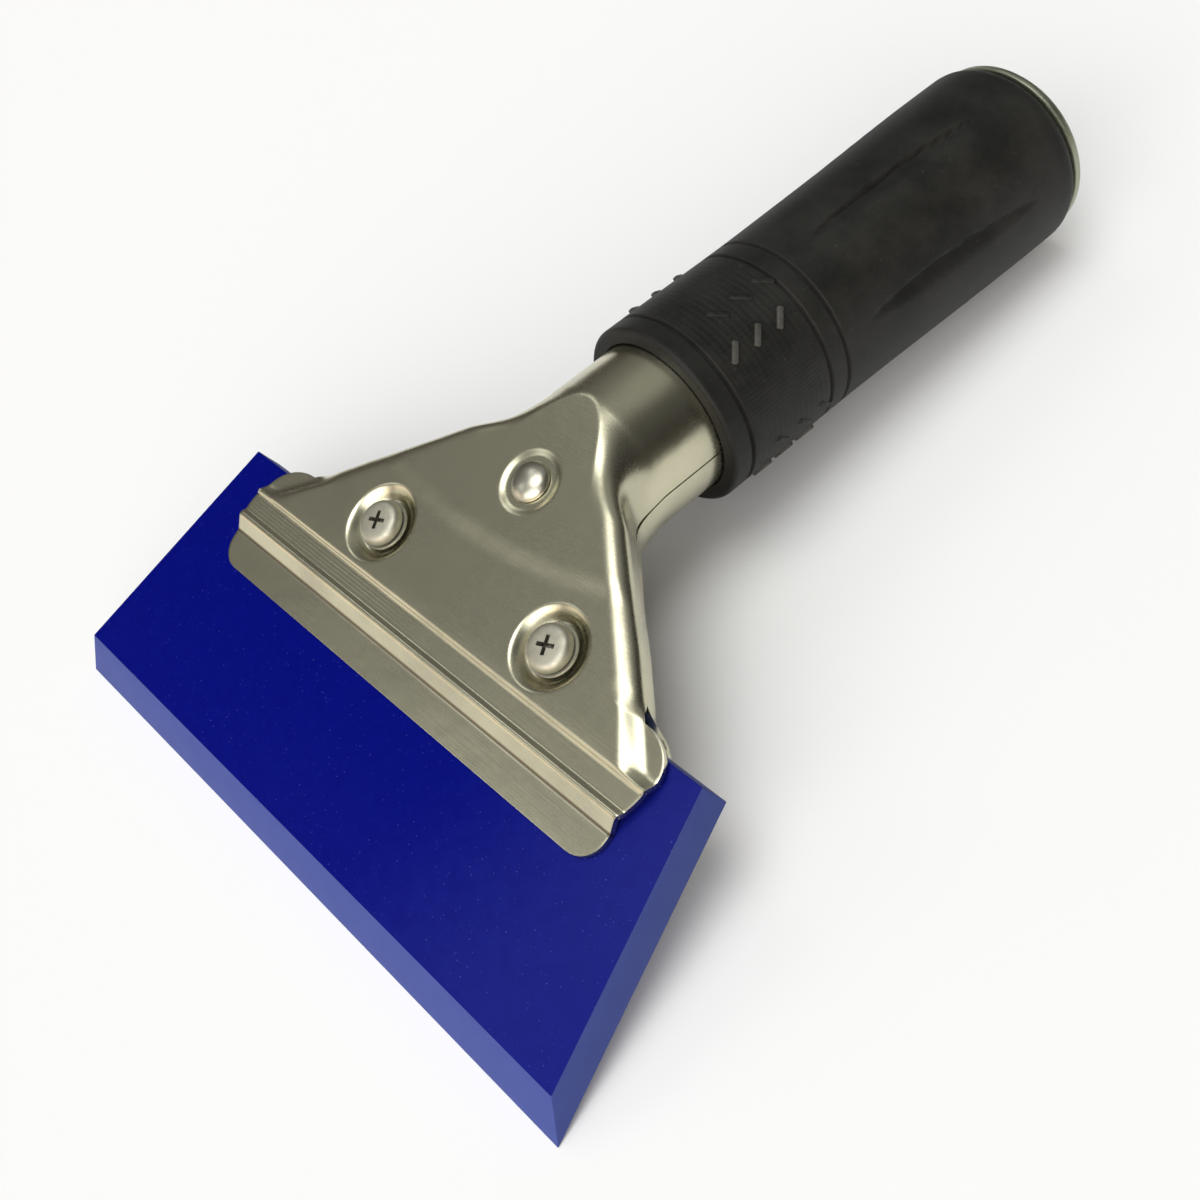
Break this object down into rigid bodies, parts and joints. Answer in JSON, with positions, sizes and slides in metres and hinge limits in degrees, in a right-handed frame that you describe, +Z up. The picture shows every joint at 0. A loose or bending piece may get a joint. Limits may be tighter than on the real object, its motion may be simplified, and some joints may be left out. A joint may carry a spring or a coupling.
{
  "type": "hand squeegee",
  "caption": "Hand squeegee: a trapezoid polyurethane blade clamped between two stamped steel jaws, on a bent tube with a ribbed rubber grip and a metal end cap.",
  "frame": {"origin": "centre of the bounding box at the level the tool lies on", "axes": "+X along the blade's edge, +Y from the blade towards the end of the handle, +Z up"},
  "size_m": [0.128, 0.1772, 0.0404],
  "materials": {
    "polyurethane": "deep blue cast polyurethane, smooth, slightly satin",
    "stainless_sheet": "stamped stainless sheet, fine brushed, soft reflections",
    "plated_steel": "bright plated steel, satin",
    "grip_rubber": "moulded black rubber, dull, fine grain",
    "cap_alloy": "turned alloy, satin"
  },
  "bodies": {
    "head": {"upper_shell": "stainless_sheet", "lower_shell": "stainless_sheet", "left_nut": "plated_steel", "right_nut": "plated_steel", "rivet": "plated_steel", "rivet_spacer": "plated_steel", "grip": "grip_rubber", "end_cap": "cap_alloy"},
    "clamped_blade": {"blade": "polyurethane"},
    "left_clamp_washer": {"left_washer": "plated_steel"},
    "left_clamp_screw": {"left_screw": "plated_steel"},
    "right_clamp_washer": {"right_washer": "plated_steel"},
    "right_clamp_screw": {"right_screw": "plated_steel"}
  },
  "joints": [
    {"name": "blade_pull", "type": "slide", "parent": "head", "child": "clamped_blade", "axis": [0, -0.9377, -0.3474], "range_m": [0, 0.025]},
    {"name": "left_screw_lift", "type": "slide", "parent": "head", "child": "left_clamp_washer", "axis": [0, -0.3474, 0.9377], "range_m": [0, 0.0035]},
    {"name": "left_screw_turn", "type": "hinge", "parent": "left_clamp_washer", "child": "left_clamp_screw", "pos_m": [-0.01785, -0.04276, 0.02626], "axis": [0, -0.3474, 0.9377], "range_deg": [0, 1800]},
    {"name": "right_screw_lift", "type": "slide", "parent": "head", "child": "right_clamp_washer", "axis": [0, -0.3474, 0.9377], "range_m": [0, 0.0035]},
    {"name": "right_screw_turn", "type": "hinge", "parent": "right_clamp_washer", "child": "right_clamp_screw", "pos_m": [0.02325, -0.04276, 0.02626], "axis": [0, -0.3474, 0.9377], "range_deg": [0, 1800]}
  ],
  "couplings": [
    {"joint": "left_screw_turn", "follows": "left_screw_lift", "rad_per_m": 8975.9},
    {"joint": "right_screw_turn", "follows": "right_screw_lift", "rad_per_m": 8975.9}
  ]
}
